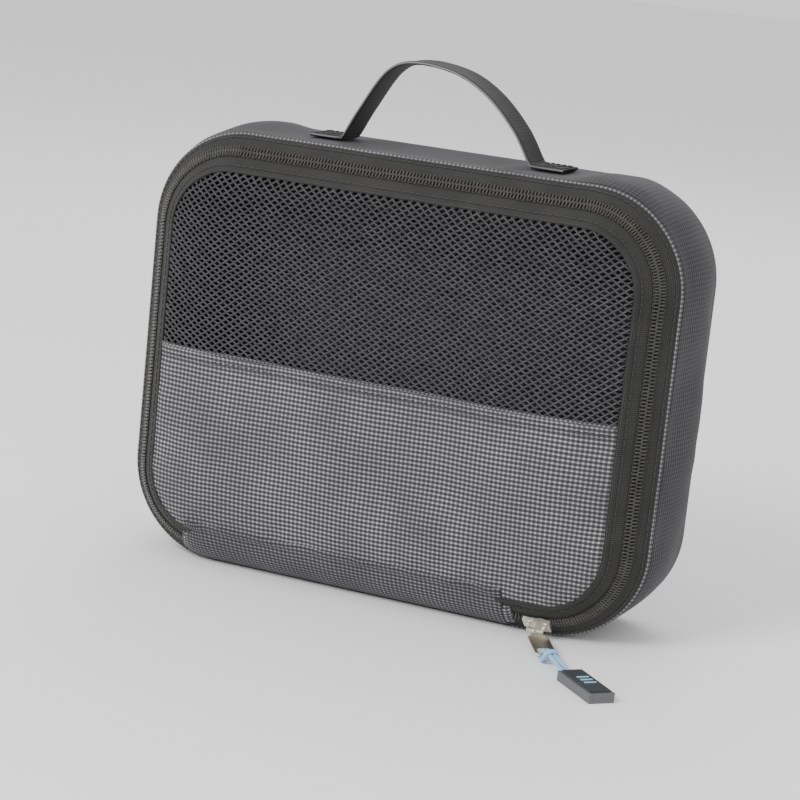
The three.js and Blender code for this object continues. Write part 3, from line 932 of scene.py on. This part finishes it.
# A painted highlight makes the webbing's two edges paler.
RIB_PITCH = 1.5
webbing_black = tape_finish(
    "ribbed_webbing_black", (0.008, 0.008, 0.009), (0.06, 0.06, 0.065), RIB_PITCH, 0.7,
)
webbing_highlight_tree = webbing_black.node_tree
edge_uv = webbing_highlight_tree.nodes.new("ShaderNodeUVMap")
edge_uv.uv_map = "cloth_mm"
edge_split = webbing_highlight_tree.nodes.new("ShaderNodeSeparateXYZ")
edge_far = webbing_highlight_tree.nodes.new("ShaderNodeMath")
edge_far.operation = "ABSOLUTE"
edge_highlight_mask = webbing_highlight_tree.nodes.new("ShaderNodeMapRange")
edge_highlight_mask.inputs["From Min"].default_value = WEB_WIDTH / 2 - 0.7
edge_highlight_mask.inputs["From Max"].default_value = WEB_WIDTH / 2 - 0.2
edge_highlight_mix = webbing_highlight_tree.nodes.new("ShaderNodeMixRGB")
edge_highlight_mix.inputs[2].default_value = (0.16, 0.16, 0.165, 1)
web_shader = webbing_highlight_tree.nodes["Principled BSDF"]
under = web_shader.inputs["Base Color"].links[0].from_socket
webbing_highlight_tree.links.new(edge_uv.outputs[0], edge_split.inputs[0])
webbing_highlight_tree.links.new(edge_split.outputs[1], edge_far.inputs[0])
webbing_highlight_tree.links.new(edge_far.outputs[0], edge_highlight_mask.inputs[0])
webbing_highlight_tree.links.new(edge_highlight_mask.outputs[0], edge_highlight_mix.inputs[0])
webbing_highlight_tree.links.new(under, edge_highlight_mix.inputs[1])
webbing_highlight_tree.links.new(edge_highlight_mix.outputs[0], web_shader.inputs["Base Color"])


def web_band(name, line, normals):
    """A ribbed band along a line: its own ridges run from edge to edge."""
    rows = []
    uvs = []
    travelled = 0.0
    ring = 36
    for i, centre in enumerate(line):
        if i:
            travelled += (centre - line[i - 1]).length
        rib = RIB_HEIGHT * math.sin(2 * math.pi * travelled / RIB_PITCH)
        row = []
        row_uv = []
        for k in range(ring + 1):
            t = k / ring
            if t <= 0.5:
                across = -1 + 4 * t
                face = 1
            else:
                across = 3 - 4 * t
                face = -1
            edge = max(0.0, 1 - abs(across) ** 14)
            off = face * (WEB_THICK / 2 + rib) * max(0.25, edge)
            curl = 0.5 * across * across
            place = centre + normals[i] * (off + curl) + Vector((0, across * WEB_WIDTH / 2, 0))
            row.append(place)
            row_uv.append((travelled, across * WEB_WIDTH / 2))
        rows.append(row)
        uvs.append(row_uv)
    obj = grid_mesh(name, rows, uvs)
    bm = bmesh.new()
    bm.from_mesh(obj.data)
    bmesh.ops.remove_doubles(bm, verts=bm.verts[:], dist=1e-6)
    ends = [e for e in bm.edges if e.is_boundary]
    bmesh.ops.holes_fill(bm, edges=ends, sides=0)
    bmesh.ops.recalc_face_normals(bm, faces=bm.faces[:])
    bm.to_mesh(obj.data)
    bm.free()
    obj.data.shade_smooth()
    return obj


web_normals = []
for i in range(len(web_line)):
    ahead = web_line[min(i + 1, len(web_line) - 1)] - web_line[max(i - 1, 0)]
    ahead.normalize()
    web_normals.append(Vector((-ahead.z, 0, ahead.x)))
handle_web = web_band("handle_web", web_line, web_normals)
handle_web.data.materials.append(webbing_black)
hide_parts("handle_webbing", "handle_foot_left", "handle_foot_right")
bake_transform(handle_web)

# The crossed squares of thread that hold the two feet.
CROSS_X = 6.2
CROSS_Y = 7.4
CROSS_PITCH = 2.4
for side, word in ((-1, "left"), (1, "right")):
    cross_bm = bmesh.new()
    middle = Vector((side * (FOOT_X + FOOT_LENGTH / 2), HANDLE_Y, arch_z + 0.5))
    corner_list = [Vector((-CROSS_X, -CROSS_Y, 0)), Vector((CROSS_X, -CROSS_Y, 0)),
                   Vector((CROSS_X, CROSS_Y, 0)), Vector((-CROSS_X, CROSS_Y, 0))]
    lines = [(corner_list[k], corner_list[(k + 1) % 4]) for k in range(4)]
    lines += [(corner_list[0], corner_list[2]), (corner_list[1], corner_list[3])]
    for a, b in lines:
        parts = max(2, int((b - a).length / CROSS_PITCH))
        for k in range(parts):
            p = middle + a.lerp(b, (k + 0.12) / parts)
            q = middle + a.lerp(b, (k + 0.88) / parts)
            for point in (p, q):
                point.z += 0.5 * ((point.y - HANDLE_Y) / (WEB_WIDTH / 2)) ** 2 - 0.25
            sideways = (q - p).normalized().cross(Vector((0, 0, 1)))
            bar_between(cross_bm, p, q, sideways, Vector((0, 0, 1)), 0.28, 0.22)
    finished(
        cross_bm, "handle_stitches_" + word, thread_black, "shell",
        ["foot_stitch_" + word],
    )


# ---------------------------------------------------------------- slider and pull
# Die-cast, nickel-plated metal: two plates round the coil, a bridge, a wire
# ring and a stamped pull plate with a D-shaped eye. Handling has dulled it.
def metal_finish():
    mat, tree, shader, node = wired("plated_metal")
    where = node("ShaderNodeTexCoord")
    worn = node("ShaderNodeTexNoise", [(0, where.outputs["Object"])])
    worn.inputs["Scale"].default_value = 220
    worn.inputs["Detail"].default_value = 6
    streak = node("ShaderNodeMapRange", [(0, worn.outputs["Fac"])])
    streak.inputs["To Min"].default_value = 0.22
    streak.inputs["To Max"].default_value = 0.48
    tree.links.new(streak.outputs[0], shader.inputs["Roughness"])
    tree.links.new(ramp_mix(node, worn.outputs["Fac"], (0.62, 0.58, 0.49), (0.88, 0.85, 0.76)),
                   shader.inputs["Base Color"])
    shader.inputs["Metallic"].default_value = 1.0
    bump(tree, node, shader, worn.outputs["Fac"], 0.12, 0.0001)
    return mat


plated = metal_finish()
for name, width in (
    ("slider_top", 0.45), ("slider_base", 0.3), ("slider_bridge", 0.3),
    ("pull_plate", 0.3), ("pull_ring", 0),
):
    part = bpy.data.objects[name]
    part.data.materials.clear()
    part.data.materials.append(plated)
    if width:
        round_edge = part.modifiers.new("rounded_edge", "BEVEL")
        round_edge.width = width * MM
        round_edge.segments = 3
        round_edge.limit_method = "ANGLE"
        round_edge.angle_limit = math.radians(25)


# ---------------------------------------------------------------- end tag
# A soft moulded block on the cord's ends, dark grey, with a slightly raised
# pad. The pad carries three plain light-blue bars.
def moulded_finish(name, dark, pale):
    mat, tree, shader, node = wired(name)
    where = node("ShaderNodeTexCoord")
    grain = node("ShaderNodeTexNoise", [(0, where.outputs["Object"])])
    grain.inputs["Scale"].default_value = 700
    grain.inputs["Detail"].default_value = 2
    tree.links.new(ramp_mix(node, grain.outputs["Fac"], dark, pale), shader.inputs["Base Color"])
    shader.inputs["Roughness"].default_value = 0.55
    bump(tree, node, shader, grain.outputs["Fac"], 0.25, 0.0001)
    return mat


tag_rim = moulded_finish("tag_rim_grey", (0.07, 0.07, 0.074), (0.12, 0.12, 0.125))
tag_face = moulded_finish("tag_pad_dark", (0.02, 0.024, 0.03), (0.045, 0.05, 0.06))
for name, look, width in (("tag", tag_rim, 0.7), ("tag_pad", tag_face, 0.2)):
    part = bpy.data.objects[name]
    part.data.materials.clear()
    part.data.materials.append(look)
    round_edge = part.modifiers.new("moulded_edge", "BEVEL")
    round_edge.width = width * MM
    round_edge.segments = 3
    round_edge.limit_method = "ANGLE"

BAR_Z = 4.95
BAR_PITCH = 3.2
BAR_HALF = 2.6
tag_middle = on_cord(cord_reach + 0.3 + 14, 0, 0) / MM
bars_bm = bmesh.new()
tag_along = Vector((math.sin(cord_yaw), -math.cos(cord_yaw), 0))
tag_across = Vector((math.cos(cord_yaw), math.sin(cord_yaw), 0))
for k in (-1, 0, 1):
    centre = Vector((tag_middle.x, tag_middle.y, BAR_Z)) + tag_along * (k * BAR_PITCH)
    reach_out = tag_across * BAR_HALF
    bar_between(
        bars_bm, centre - reach_out, centre + reach_out, tag_along, Vector((0, 0, 1)), 0.6, 0.22,
    )
bar_blue = moulded_finish("tag_bar_blue", (0.22, 0.42, 0.58), (0.32, 0.54, 0.70))
finished(bars_bm, "tag_bars", bar_blue, "cord")
